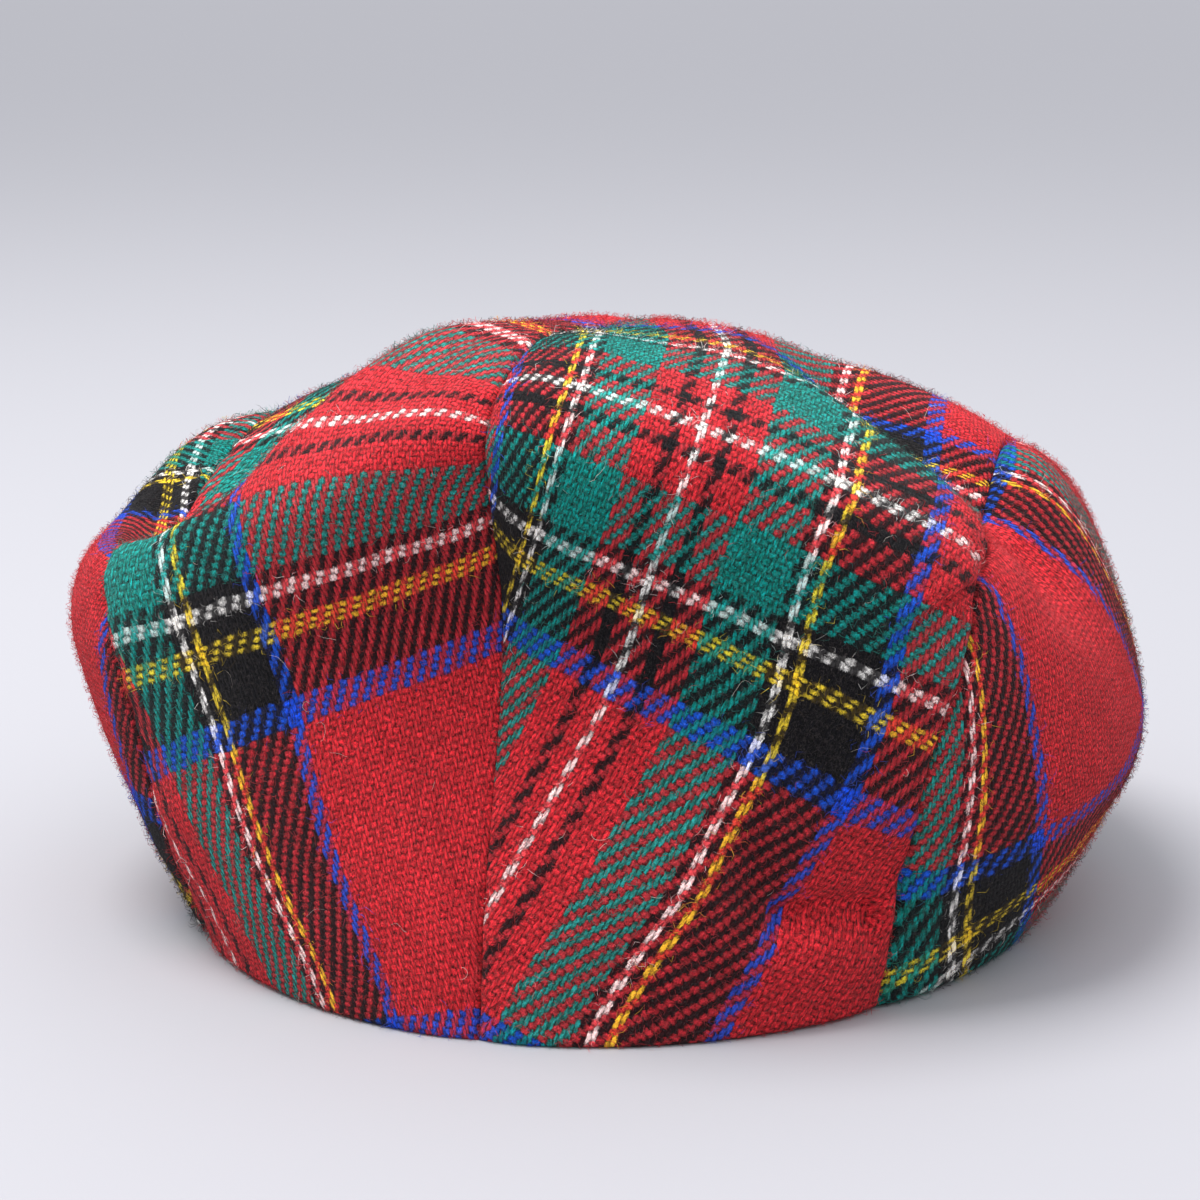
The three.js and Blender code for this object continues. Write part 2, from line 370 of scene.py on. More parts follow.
# Outer and inner face of the cloth, in millimetres, for places on the disc.
def clothFaces(p, seams):
    up = discPlace(p)[1]
    normal = crownNormal(p)
    middle = crownAt(p) - normal * foldDepth(p)[:, None]
    away, along = nearSeam(middle, seams)
    radius = np.hypot(*(middle[:, :2] - crown["rimCentre"]).T)
    toRim = np.maximum(middle[:, 2] - edgeHeight(discPlace(p)[0], radius), 0)
    toRim = np.where(up < cloth["hemZone"], toRim, np.inf)
    dip = cloth["seamDip"] * np.exp(-(away / cloth["seamDipWide"]) ** 2)
    edge = np.maximum(turned(away, cloth["seamRoll"]), turned(toRim, cloth["hemRoll"]))
    uneven, over = cloth["puckerDrift"]
    pucker = cloth["pucker"] * np.exp(-away / cloth["puckerWide"]) * np.sin(
        along * 2 * math.pi / cloth["puckerEvery"] + uneven * np.sin(along / over))
    calm = smooth(toRim / cloth["calm"])
    high, wide, where, length = cloth["puff"]
    puff = high * away / wide * np.exp(1 - away / wide - ((along - where) / length) ** 2)
    puff = puff * (p[:, 0] > 0) * ((1, "centre") in seams) * (p[:, 0] < cloth["puffReach"])
    soft = (cloth["wave"] * waves(middle) + pucker) * calm + puff
    crease = dentDepth(p, cloth["creases"])
    outer = middle + normal * (soft - dip - edge - crease)[:, None]
    outer[atRim(p), 2] = middle[atRim(p), 2]
    thick = crown["clothThick"] + puff + crease + crown["hemThick"] * smooth(2 - up / crown["hemUp"])
    fold = cloth["seamAllowance"] * np.exp(-(away / cloth["allowanceWide"]) ** 2)
    fold = fold * smooth(toRim / cloth["allowanceCalm"])
    fold = fold - cloth["hemRollInside"] * turned(toRim, cloth["hemRoll"])
    inner = middle - normal * (thick + dip + fold)[:, None]
    inner[atRim(p), 2] = middle[atRim(p), 2]
    for face in (outer, inner):
        face[:, 2] = np.maximum(face[:, 2], 0)
    return outer, inner


def only(piece):
    bpy.ops.object.select_all(action="DESELECT")
    piece.select_set(True)
    bpy.context.view_layer.objects.active = piece


def editAll(piece):
    only(piece)
    bpy.ops.object.mode_set(mode="EDIT")
    bpy.ops.mesh.select_all(action="SELECT")


def getPoints(mesh):
    return readAll(mesh.vertices, "co", 3).astype(float)


def setPoints(mesh, points):
    mesh.vertices.foreach_set("co", np.asarray(points, np.float32).ravel())
    mesh.update()


# Lays the cloth out flat, in millimetres, with no more stretch than the shape needs.
def flatten(piece):
    mesh = piece.data
    editAll(piece)
    bpy.ops.uv.unwrap(method="MINIMUM_STRETCH", margin=0)
    bpy.ops.object.mode_set(mode="OBJECT")
    flat = np.zeros((len(mesh.vertices), 2))
    flat[readAll(mesh.loops, "vertex_index", 1, np.int32)] = readAll(
        mesh.uv_layers.active.data, "uv", 2)
    points = getPoints(mesh)
    a, b = readAll(mesh.edges, "vertices", 2, np.int32).T
    real = np.linalg.norm(points[a] - points[b], axis=1)
    drawn = np.linalg.norm(flat[a] - flat[b], axis=1)
    return flat * (real.sum() / drawn.sum())


# Thread counts of the plain cloth, warp ends across and weft picks along, with the white pivot
# stripe as 0 in both. Pitches in millimetres.
weave = {"endPitch": 0.79, "pickPitch": 1.27}

# How each panel is cut and lies. flat and area are its size before sewing, in metres. rows and
# columns are how many steps its mesh would have evenly spaced, and its first step. origin, towards
# and beside are places on the crown, at and up: y runs up the flat cloth from origin to towards,
# and x across it to the side where beside lies, both in millimetres. warp and weft are the counts
# at the origin, and warpWay says which way the ends count up along x. Each row of pull is stepUp
# further up, and holds how many ends, then how many picks, the cloth is pulled over at each x of
# pullAt. tuck is how many ends the seam gathers in at each of those heights, and tuckWide how far
# from it.
panels = {
    "cloth_top_left": {
        "node": "top_left_panel", "side": -1, "disc": topDisc,
        "flat": (0.1030, 0.3483), "area": 0.03053, "restsOn": ["cloth_side_left", "cloth_peak"],
        "seams": [(-1, "centre"), (-1, "shoulder")], "rows": (250, 0.0010), "columns": (84, 0.004),
        "origin": (-0.1, 0), "towards": (-0.1, 0.7), "beside": (-46, 0),
        "warp": 111, "warpWay": -1, "weft": 87, "stepUp": 30, "pullAt": (0, 50, 100),
        "pull": [
            ((-28, -38, -27), (4, -7, -30)), ((-9, -17, -6), (8, -7, -23)),
            ((4, -4, 15), (6, -5, -14)), ((10, 4, 27), (3, -3, -5)),
            ((8, 18, 32), (-8, 4, 5)), ((3, 14, 25), (-3, 9, 11)),
            ((0, 9, 13), (5, 12, 13)), ((2, 6, 8), (8, 10, 11)),
        ],
    },
    "cloth_top_right": {
        "node": "top_right_panel", "side": 1, "disc": topDisc,
        "flat": (0.1007, 0.3460), "area": 0.02951, "restsOn": ["cloth_side_right", "cloth_peak"],
        "seams": [(1, "centre"), (1, "shoulder")], "rows": (250, 0.0010), "columns": (84, 0.004),
        "origin": (0.1, 0), "towards": (0.1, 0.7), "beside": (46, 0),
        "warp": -57, "warpWay": 1, "weft": 87, "stepUp": 30, "pullAt": (0, 50, 100),
        "pull": [
            ((69, 58, 43), (4, -11, -25)), ((49, 41, 32), (8, -8, -20)),
            ((30, 28, 22), (7, -4, -15)), ((15, 25, 15), (6, -5, -7)),
            ((7, 16, 6), (0, -4, 1)), ((5, 8, 2), (-2, 3, 10)),
            ((13, 9, 5), (0, 0, -6)), ((10, 8, 5), (4, 2, -2)),
        ],
        "tuck": (0, 0, 4, 12, 5, 3, 0, 0), "tuckWide": 5,
    },
    "cloth_side_left": {
        "node": "side_left_panel", "side": -1, "disc": sideDisc,
        "flat": (0.1110, 0.1558), "area": 0.01334, "restsOn": ["cloth_top_left", "cloth_peak"],
        "seams": [(-1, "shoulder")], "rows": (150, 0.003), "columns": (80, 0.004),
        "origin": (-90, 0), "towards": (-90, 0.5), "beside": (-50, 0.05),
        "warp": -150, "warpWay": 1, "weft": -17, "stepUp": 35, "pullAt": (-40, 20, 75),
        "pull": [
            ((45, 30, 13), (24, 7, -4)), ((8, 5, 6), (24, 7, 1)),
            ((-35, -20, 0), (22, 0, 0)), ((-75, -38, -5), (14, -12, -6)),
        ],
    },
    "cloth_side_right": {
        "node": "side_right_panel", "side": 1, "disc": sideDisc,
        "flat": (0.1085, 0.1564), "area": 0.01274, "restsOn": ["cloth_top_right", "cloth_peak"],
        "seams": [(1, "shoulder")], "rows": (150, 0.003), "columns": (80, 0.004),
        "origin": (90, 0), "towards": (90, 0.5), "beside": (50, 0.05),
        "warp": 121, "warpWay": -1, "weft": -17, "stepUp": 35, "pullAt": (-40, 20, 75),
        "pull": [
            ((-45, -30, -3), (24, 7, -4)), ((-8, -5, -2), (24, 7, 1)),
            ((35, 20, -9), (24, 4, 1)), ((75, 38, -22), (28, 9, 7)),
        ],
    },
}


# Ends and picks that the cloth is pulled over: smooth along y, a parabola along x.
def pulled(panel, x, y, away):
    table = np.array(panel["pull"], float)
    last = len(table) - 1
    justUnder = last - 1e-6
    row = np.clip(y / panel["stepUp"], 0, justUnder)
    first = np.floor(row).astype(int)
    near = [table[np.clip(first + k, 0, last)] for k in (-1, 0, 1, 2)]
    counts = blend4(*near, (row - first)[:, None, None])
    a, b, c = panel["pullAt"]
    share = np.stack([(x - b) * (x - c) / ((a - b) * (a - c)), (x - a) * (x - c) / ((b - a) * (b - c)),
                      (x - a) * (x - b) / ((c - a) * (c - b))], axis=-1)
    counts = (counts * share[:, None]).sum(axis=-1)
    if "tuck" in panel:
        heights = panel["stepUp"] * np.arange(last + 1)
        tucked = np.interp(y, heights, panel["tuck"]) * np.exp(-away / panel["tuckWide"])
        counts[:, 0] -= tucked
    return counts


# Turns the flat cloth to its grain and gives each point its warp and weft count.
def threadCounts(panel, p, flat):
    near = [flat[((p - onDisc(*np.array(panel[key], float))) ** 2).sum(axis=1).argmin()]
            for key in ("origin", "towards", "beside")]
    alongY = (near[1] - near[0]) / np.linalg.norm(near[1] - near[0])
    alongX = np.array([alongY[1], -alongY[0]])
    alongX = alongX * np.sign((near[2] - near[0]) @ alongX)
    x, y = (flat - near[0]) @ alongX, (flat - near[0]) @ alongY
    plain = np.column_stack([panel["warp"] + panel["warpWay"] * x / weave["endPitch"],
                             panel["weft"] - y / weave["pickPitch"]])
    fromCentre = np.abs(p[:, 0]) * crown["domeTop"]     # roughly, as the disc is a dome laid flat
    return plain + pulled(panel, x, y, fromCentre)


# A flat grid whose points lie where place puts them, with doubled points joined.
def gridPiece(name, rows, columns, place):
    bpy.ops.object.select_all(action="DESELECT")
    bpy.ops.mesh.primitive_grid_add(x_subdivisions=len(columns) - 1,
                                    y_subdivisions=len(rows) - 1, size=1)
    piece = bpy.context.object
    piece.name = name
    mesh = piece.data
    grid = getPoints(mesh)
    j = np.rint((grid[:, 0] + 0.5) * (len(columns) - 1)).astype(int)
    i = np.rint((grid[:, 1] + 0.5) * (len(rows) - 1)).astype(int)
    p = place(rows[i], columns[j])
    setPoints(mesh, np.column_stack([p, 0 * p[:, 0]]))
    editAll(piece)
    bpy.ops.mesh.remove_doubles(threshold=1e-6)
    bpy.ops.object.mode_set(mode="OBJECT")
    return piece


def setUv(piece, counts):
    mesh = piece.data
    mesh.uv_layers.active.name = "threads"
    corner = readAll(mesh.loops, "vertex_index", 1, np.int32)
    mesh.uv_layers.active.data.foreach_set("uv", counts[corner].astype(np.float32).ravel())


# Turns the faces over if they look away from the given directions.
def turnFaces(piece, outwards):
    if (readAll(piece.data.vertices, "normal", 3) * outwards).sum() < 0:
        editAll(piece)
        bpy.ops.mesh.flip_normals()
        bpy.ops.object.mode_set(mode="OBJECT")


# Gives a sheet its second face, then puts every point of both where it belongs.
def thicken(piece, outer, inner):
    wall = piece.modifiers.new("wall", "SOLIDIFY")
    wall.thickness = 1
    wall.offset = -1
    only(piece)
    bpy.ops.object.modifier_apply(modifier="wall")
    setPoints(piece.data, np.vstack([outer, inner]) * mm)
    bpy.ops.object.shade_smooth()


# One panel, drawn on the disc, shaped to the crown, laid flat for its threads, then thickened.
def clothPanel(name, panel):
    piece = gridPiece(name, fineEnds(*panel["rows"]), fineEnds(*panel["columns"]),
                      lambda along, across: panel["disc"](panel["side"], along, across))
    mesh = piece.data
    p = getPoints(mesh)[:, :2]
    justInside = p / np.linalg.norm(p, axis=1)[:, None] * (1 - crown["rimInset"])
    p = np.where(atRim(p)[:, None], justInside, p)
    setPoints(mesh, crownAt(p) - crownNormal(p) * foldDepth(p)[:, None])
    turnFaces(piece, crownNormal(p))
    flat = flatten(piece)
    setUv(piece, threadCounts(panel, p, flat))
    thicken(piece, *clothFaces(p, panel["seams"]))
    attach(piece, "root")
    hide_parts(panel["node"])
    return piece


cap = {name: clothPanel(name, panel) for name, panel in panels.items()}
print("panels shaped")


# The peak: a curved plate in the same cloth, with its edges rolled over.
def peakPiece():
    rows, columns = np.linspace(0, 1, peak["rows"]), fineEnds(*peak["columns"])
    piece = gridPiece("cloth_peak", rows, columns,
                      lambda along, across: np.column_stack([along, across]))
    mesh = piece.data
    along, across = getPoints(mesh)[:, :2].T
    at = peak["from"] + (360 - 2 * peak["from"]) * along
    first = rimRadius(at) - crown["clothThick"] - crown["hemThick"]
    last = rimRadius(at) + peak["reach"] * frontShare(at)
    r = first + (last - first) * across
    top = peakTop(at, r)
    thick = np.minimum(peak["thick"], top)
    roll = turned(last - r, np.clip(thick / peak["rollShare"], peak["leastRoll"], peak["edgeRoll"]))
    upper = fromMiddle(at, r, np.maximum(top - roll, 0))
    under = fromMiddle(at, r, np.maximum(top - thick, 0) + roll)
    setPoints(mesh, upper)
    turnFaces(piece, (0, 0, 1))
    setUv(piece, np.column_stack([upper[:, 0] / weave["endPitch"], upper[:, 1] / weave["pickPitch"]]))
    thicken(piece, upper, under)
    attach(piece, "root")
    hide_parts("peak")
    return piece


cap["cloth_peak"] = peakPiece()
print("peak shaped")


# A shader node, with numbers or sockets as inputs.
def addNode(tree, kind, inputs=(), **settings):
    made = tree.nodes.new(kind)
    for key, value in settings.items():
        setattr(made, key, value)
    for key, value in dict(inputs).items():
        if isinstance(value, bpy.types.NodeSocket):
            tree.links.new(value, made.inputs[key])
        else:
            made.inputs[key].default_value = value
    return made


def calc(tree, operation, *values):
    made = addNode(tree, "ShaderNodeMath", enumerate(values), operation=operation)
    return made.outputs[0]


def between(tree, value, low, high):
    return calc(tree, "MINIMUM", calc(tree, "MAXIMUM", value, low), high)


def vectorCalc(tree, operation, *values):
    made = addNode(tree, "ShaderNodeVectorMath", enumerate(values), operation=operation)
    return made.outputs[0]


def vector(tree, *values):
    return addNode(tree, "ShaderNodeCombineXYZ", enumerate(values)).outputs[0]


# Mixes by mask. The node has its inputs and its output in other slots for each kind.
def pick(tree, mask, no, yes, kind="FLOAT"):
    noSlot, yesSlot, outSlot = {"FLOAT": (2, 3, 0), "RGBA": (6, 7, 2)}[kind]
    made = addNode(tree, "ShaderNodeMix", data_type=kind)
    for slot, value in ((0, mask), (noSlot, no), (yesSlot, yes)):
        if isinstance(value, bpy.types.NodeSocket):
            tree.links.new(value, made.inputs[slot])
        else:
            made.inputs[slot].default_value = value
    return made.outputs[outSlot]


def newGroup(name, inputs, outputs):
    tree = bpy.data.node_groups.new(name, "ShaderNodeTree")
    for way, sockets in (("INPUT", inputs), ("OUTPUT", outputs)):
        for label, kind in sockets:
            tree.interface.new_socket(label, in_out=way, socket_type="NodeSocket" + kind)
    return tree, tree.nodes.new("NodeGroupInput"), tree.nodes.new("NodeGroupOutput")


# Linear colour and full opacity from a web colour, by the usual sRGB formula.
def fromHex(text):
    values = [int(text[k:k + 2], 16) / 255 for k in (0, 2, 4)]
    return (*[v / 12.92 if v < 0.04 else ((v + 0.055) / 1.055) ** 2.4 for v in values], 1)


def plainMaterial(name, colour, roughness):
    material = bpy.data.materials.new(name)
    material.use_nodes = True
    skin = material.node_tree.nodes["Principled BSDF"]
    skin.inputs["Base Color"].default_value = fromHex(colour)
    skin.inputs["Roughness"].default_value = roughness
    return material


def cover(piece, material):
    piece.data.materials.clear()
    piece.data.materials.append(material)


tartan = {
    "red": "c52b35", "blue": "1450c8", "green": "008577", "black": "0b0a0f",
    "white": "f0ece6", "yellow": "f0cf35",
    # half of each repeat from the white pivot out: colour and thread count
    "warp": [("white", 1), ("red", 4), ("black", 3), ("red", 7), ("green", 16), ("black", 2),
             ("white", 2), ("black", 2), ("yellow", 2), ("black", 16), ("blue", 4), ("red", 36)],
    "weft": [("white", 1), ("red", 3), ("black", 2), ("red", 5), ("green", 10), ("black", 2),
             ("white", 2), ("black", 3), ("yellow", 3), ("black", 8), ("blue", 4), ("red", 22)],
    "thinFrom": 28, "thinTo": 31,           # picks of the thinner yellow yarn
    "narrow": 0.98, "thinNarrow": 1.45,     # 1 for a yarn as wide as its place
    # noise that moves the yarns: scale, and by how many threads
    "drift": (0.09, 1.2), "wobble": (0.8, 0.6), "fray": (3.6, 0.8),
    # heights of the weave in yarn widths
    "crimp": 0.5, "round": 0.5, "warpOver": 0.1,
    "dome": 0.7,                            # under 1 gives a yarn a flatter top
    "warpFlat": 1.3, "weftFlat": 1.6,       # how long it stays up
    "spread": 0.45,                         # how far a pale yarn covers a dark one
    "join": 0.12,                           # how softly the two heights meet
    "felt": 0.03, "blend": 1.9, "ragged": 0.5,      # how one yarn shows through the other
    # the yarn beneath tints the one on top, partly as its fibres showing through and partly as painted
    # shade between the yarns
    "tint": 0.38, "tintLift": 1.2,                  # and darkens it
    # scale of the fibres' noise: across a warp and a weft yarn, along it, and how far its twist
    # slants it. The two places set each yarn's noise apart from the next one's.
    "acrossWarp": 2.2, "acrossWeft": 3.0, "along": 1.3, "slant": 1.8,
    "warpPlace": 3.7, "weftPlace": 7.3, "fibreDetail": 4.0, "fibreRough": 0.7,
    # the fibres' brightness is painted highlight and shade along each yarn
    "bright": 1.24, "fibreLightAndShade": 5.6,          # mean brightness, and how far the fibres vary it
    "lots": 0.2,                            # how far it varies from yarn to yarn
    "patches": 0.4, "patchScale": 0.045,    # and over the cloth
    # painted shade in the gaps between yarns and painted highlight on their tops, set by the weave's
    # height
    "gapShade": 0.1, "topShade": 1.2, "gapAt": 0.35, "topAt": 1.05,     # at which heights
    "fibreBump": 0.5,
    # green yarn is spun with teal. greenest is how sharply it is told from other yarn.
    "teal": "00939c", "tealShare": 0.7, "greenest": 14.0, "bluest": 0.9,
    "tealSharp": 4.0, "tealStart": 0.12,
    # stray fibres over the cloth, and painted sheen on them, as one pale mix
    "dustSheen": "b9a9a4", "dustSheenShare": 0.14, "dustSheenMost": 0.5, "dustSheenSharp": 5.0, "dustSheenStart": -2.6,
    "dustSheenScale": 1.7, "dustSheenDetail": 5.0, "dustSheenRough": 0.75, "dustSheenBend": 1.6,
}


# The sett's colour at a thread count, mirrored at both of its pivots.
def stripes(tree, count, sett):
    half = sum(n for _, n in sett)
    place = calc(tree, "DIVIDE", calc(tree, "PINGPONG", calc(tree, "ADD", count, 0.5), half), half)
    ramp = addNode(tree, "ShaderNodeValToRGB", {0: place})
    ramp.color_ramp.interpolation = "CONSTANT"
    stops = ramp.color_ramp.elements
    start = 0
    for k, (colour, n) in enumerate(sett):
        stop = stops[k] if k < 2 else stops.new(start / half)
        stop.position = start / half
        stop.color = fromHex(tartan[colour])
        start += n
    return ramp.outputs[0]


# A place in the cloth moved by noise, up to half of reach each way.
def moved(tree, place, scale, reach):
    noise = addNode(tree, "ShaderNodeTexNoise", {"Vector": place, "Scale": scale, "Detail": 2.0})
    centred = vectorCalc(tree, "SUBTRACT", noise.outputs["Color"], (0.5, 0.5, 0.5))
    return vectorCalc(tree, "MULTIPLY_ADD", centred, (reach, reach, 0), place)


# Height of a yarn in a 2/2 twill that is up for two threads from start and down for the next two.
# narrow is 1 for a yarn as wide as its place and more for a thinner one, and flat says how long
# it stays up.
def crimped(tree, along, start, across, narrow, flat):
    wave = calc(tree, "COSINE", calc(tree, "MULTIPLY_ADD", along, math.pi / 2,
                                     -math.pi / 2 * (start + 1)))
    wave = between(tree, calc(tree, "MULTIPLY", wave, flat), -1.0, 1.0)
    off = calc(tree, "MULTIPLY", calc(tree, "MULTIPLY_ADD", across, 2.0, -1.0), narrow)
    bulge = calc(tree, "SUBTRACT", 1.0, calc(tree, "MULTIPLY", off, off))
    dome = calc(tree, "POWER", calc(tree, "MAXIMUM", bulge, 0.0), tartan["dome"])
    height = calc(tree, "MULTIPLY_ADD", wave, tartan["crimp"],
                  calc(tree, "MULTIPLY", dome, tartan["round"]))
    return calc(tree, "SUBTRACT", height, calc(tree, "LESS_THAN", bulge, 0.0))


# 1 where the weft is the thinner yellow yarn.
def thinPicks(tree, weftAt):
    fold = calc(tree, "PINGPONG", weftAt, sum(n for _, n in tartan["weft"]))
    return calc(tree, "MULTIPLY", calc(tree, "GREATER_THAN", fold, tartan["thinFrom"]),
                calc(tree, "LESS_THAN", fold, tartan["thinTo"]))


# Fibres that follow the yarn on top, from -0.5 to 0.5.
def fibreNoise(tree, warpTop, across, along, warpNo, weftNo):
    scale = pick(tree, warpTop, tartan["acrossWeft"], tartan["acrossWarp"])
    place = vector(
        tree,
        calc(tree, "MULTIPLY", across, scale),
        calc(tree, "MULTIPLY_ADD", along, tartan["along"],
             calc(tree, "MULTIPLY", across, tartan["slant"])),
        calc(tree, "MULTIPLY_ADD", warpNo, tartan["warpPlace"],
             calc(tree, "MULTIPLY", weftNo, tartan["weftPlace"])))
    strand = addNode(tree, "ShaderNodeTexNoise", {
        "Vector": place, "Scale": 1.0, "Detail": tartan["fibreDetail"],
        "Roughness": tartan["fibreRough"]})
    return calc(tree, "SUBTRACT", strand.outputs[0], 0.5)


# Teal fibres in yarn that is green.
def withTeal(tree, yarn, fibre):
    parts = addNode(tree, "ShaderNodeSeparateColor", {0: yarn})
    other = calc(tree, "MAXIMUM", parts.outputs[0],
                 calc(tree, "MULTIPLY", parts.outputs[2], tartan["bluest"]))
    green = calc(tree, "SUBTRACT", parts.outputs[1], other)
    green = between(tree, calc(tree, "MULTIPLY", green, tartan["greenest"]), 0.0, 1.0)
    teal = calc(tree, "MAXIMUM", 0.0, calc(
        tree, "MULTIPLY_ADD", fibre, tartan["tealSharp"], tartan["tealStart"]))
    share = calc(tree, "MULTIPLY", calc(tree, "MULTIPLY", teal, green), tartan["tealShare"])
    return pick(tree, share, yarn, fromHex(tartan["teal"]), "RGBA")


# Brightness around 1 from noise that runs from 0 to 1.
def varied(tree, noise, by):
    return calc(tree, "MULTIPLY_ADD", noise, by, 1 - by / 2)


# Stray fibres lie over everything and grey it a little; the pale mix is also painted sheen.
def withDustAndSheen(tree, threads, colour):
    stray = addNode(tree, "ShaderNodeTexNoise", {
        "Vector": threads, "Scale": tartan["dustSheenScale"], "Detail": tartan["dustSheenDetail"],
        "Roughness": tartan["dustSheenRough"], "Distortion": tartan["dustSheenBend"]})
    haze = calc(tree, "MAXIMUM", 0.0, calc(
        tree, "MULTIPLY_ADD", stray.outputs[0], tartan["dustSheenSharp"], tartan["dustSheenStart"]))
    haze = calc(tree, "MINIMUM", calc(tree, "MULTIPLY", haze, tartan["dustSheenShare"]),
                tartan["dustSheenMost"])
    return pick(tree, haze, colour, fromHex(tartan["dustSheen"]), "RGBA")


# 2/2 twill. Takes a place in thread counts, gives the cloth's colour and height there, and the
# plain colour of the yarn on top. The colour carries painted shade and highlight; the plain colour
# carries only the painted shade from the yarn beneath.
def tartanGroup():
    tree, start, end = newGroup("tartanTwill", [("Threads", "Vector")], [
        ("Color", "Color"), ("Plain", "Color"), ("Height", "Float")])
    threads = start.outputs[0]
    place = threads
    for key in ("drift", "wobble", "fray"):
        place = moved(tree, place, *tartan[key])
    split = addNode(tree, "ShaderNodeSeparateXYZ", {0: place})
    warpAt, weftAt = split.outputs[0], split.outputs[1]
    warpNo, weftNo = calc(tree, "FLOOR", warpAt), calc(tree, "FLOOR", weftAt)
    overWarp = calc(tree, "SUBTRACT", warpAt, warpNo)
    overWeft = calc(tree, "SUBTRACT", weftAt, weftNo)

    # which yarn is on top
    narrow = pick(tree, thinPicks(tree, weftAt), tartan["narrow"], tartan["thinNarrow"])
    warpUp = crimped(tree, calc(tree, "ADD", warpNo, weftAt), 0, overWarp, tartan["narrow"],
                     tartan["warpFlat"])
    weftUp = crimped(tree, calc(tree, "ADD", weftNo, warpAt), 2, overWeft, narrow,
                     tartan["weftFlat"])
    warpUp = calc(tree, "ADD", warpUp, tartan["warpOver"])
    warpColour = stripes(tree, warpNo, tartan["warp"])
    weftColour = stripes(tree, weftNo, tartan["weft"])
    warpPale, weftPale = [
        addNode(tree, "ShaderNodeSeparateColor", {0: colour}, mode="HSV").outputs[2]
        for colour in (warpColour, weftColour)]
    above = calc(tree, "MULTIPLY_ADD", calc(tree, "SUBTRACT", warpPale, weftPale),
                 tartan["spread"], calc(tree, "SUBTRACT", warpUp, weftUp))
    warpTop = calc(tree, "GREATER_THAN", above, 0.0)
    fibre = fibreNoise(tree, warpTop, pick(tree, warpTop, overWeft, overWarp),
                       pick(tree, warpTop, warpAt, weftAt), warpNo, weftNo)

    # its colour, with some of the other yarn's showing through, then darkened by the yarn beneath:
    # partly its fibres, partly painted shade between the yarns
    share = calc(tree, "ADD", above, calc(tree, "MULTIPLY", fibre, tartan["ragged"]))
    share = calc(tree, "ADD", calc(tree, "MULTIPLY", share, tartan["blend"]), 0.5)
    share = between(tree, share, tartan["felt"], 1 - tartan["felt"])
    yarn = pick(tree, share, weftColour, warpColour, "RGBA")
    under = pick(tree, share, warpColour, weftColour, "RGBA")
    underTintAndShade = vectorCalc(tree, "MULTIPLY_ADD", under, (tartan["tintLift"] * tartan["tint"],) * 3,
                        (1 - tartan["tint"],) * 3)
    yarn = withTeal(tree, vectorCalc(tree, "MULTIPLY", yarn, underTintAndShade), fibre)

    # its brightness: painted highlight and shade along the fibres, real tone that varies from yarn to
    # yarn and over the cloth, and painted shade in the gaps between yarns with painted highlight on
    # their tops
    lot = addNode(tree, "ShaderNodeTexWhiteNoise", {"Vector": vector(
        tree, pick(tree, warpTop, 0.5, warpNo), pick(tree, warpTop, weftNo, 0.5))})
    patch = addNode(tree, "ShaderNodeTexNoise", {
        "Vector": threads, "Scale": tartan["patchScale"], "Detail": 3.0})
    height = calc(tree, "SMOOTH_MAX", warpUp, weftUp, tartan["join"])
    bright = calc(tree, "MULTIPLY_ADD", fibre, tartan["fibreLightAndShade"], tartan["bright"])
    bright = calc(tree, "MULTIPLY", bright, varied(tree, lot.outputs[0], tartan["lots"]))
    bright = calc(tree, "MULTIPLY", bright, varied(tree, patch.outputs[0], tartan["patches"]))
    shade = addNode(tree, "ShaderNodeMapRange", {
        0: calc(tree, "ADD", height, fibre), 1: tartan["gapAt"], 2: tartan["topAt"],
        3: tartan["gapShade"], 4: tartan["topShade"]}).outputs[0]
    lit = addNode(tree, "ShaderNodeVectorMath", {0: yarn}, operation="SCALE")
    tree.links.new(calc(tree, "MULTIPLY", bright, shade), lit.inputs["Scale"])

    tree.links.new(withDustAndSheen(tree, threads, lit.outputs[0]), end.inputs["Color"])
    tree.links.new(yarn, end.inputs["Plain"])
    tree.links.new(calc(tree, "MULTIPLY_ADD", fibre, tartan["fibreBump"], height),
                   end.inputs["Height"])
    return tree


wool = {
    "skin": {"Roughness": 0.95, "Specular IOR Level": 0.12, "Sheen Weight": 0.05,
             "Sheen Roughness": 0.6},
    "bump": {"Strength": 0.8, "Distance": 0.5 * mm},
    # the fuzz's pale mix: partly stray pale fibres, partly painted sheen
    "fuzzDustSheen": 0.05,       # how far the fuzz is greyed
}
twill = tartanGroup()


# The woven cloth, or the fuzz on it in the plain colour of the yarn under it, paled a little for stray
# fibres and painted sheen.
def woolMaterial(name, fuzzy):
    material = bpy.data.materials.new(name)
    material.use_nodes = True
    tree = material.node_tree
    skin = tree.nodes["Principled BSDF"]
    for key, value in wool["skin"].items():
        skin.inputs[key].default_value = value
    threads = addNode(tree, "ShaderNodeUVMap", uv_map="threads")
    woven = addNode(tree, "ShaderNodeGroup")
    woven.node_tree = twill
    tree.links.new(threads.outputs[0], woven.inputs[0])
    if fuzzy:
        pale = pick(tree, wool["fuzzDustSheen"], woven.outputs["Plain"], fromHex(tartan["dustSheen"]), "RGBA")
        tree.links.new(pale, skin.inputs["Base Color"])
        return material
    bump = addNode(tree, "ShaderNodeBump", {**wool["bump"], "Height": woven.outputs["Height"]})
    tree.links.new(woven.outputs["Color"], skin.inputs["Base Color"])
    tree.links.new(bump.outputs[0], skin.inputs["Normal"])
    return material


tartanWool = woolMaterial("tartanWool", False)
for piece in cap.values():
    cover(piece, tartanWool)
print("cloth dyed")


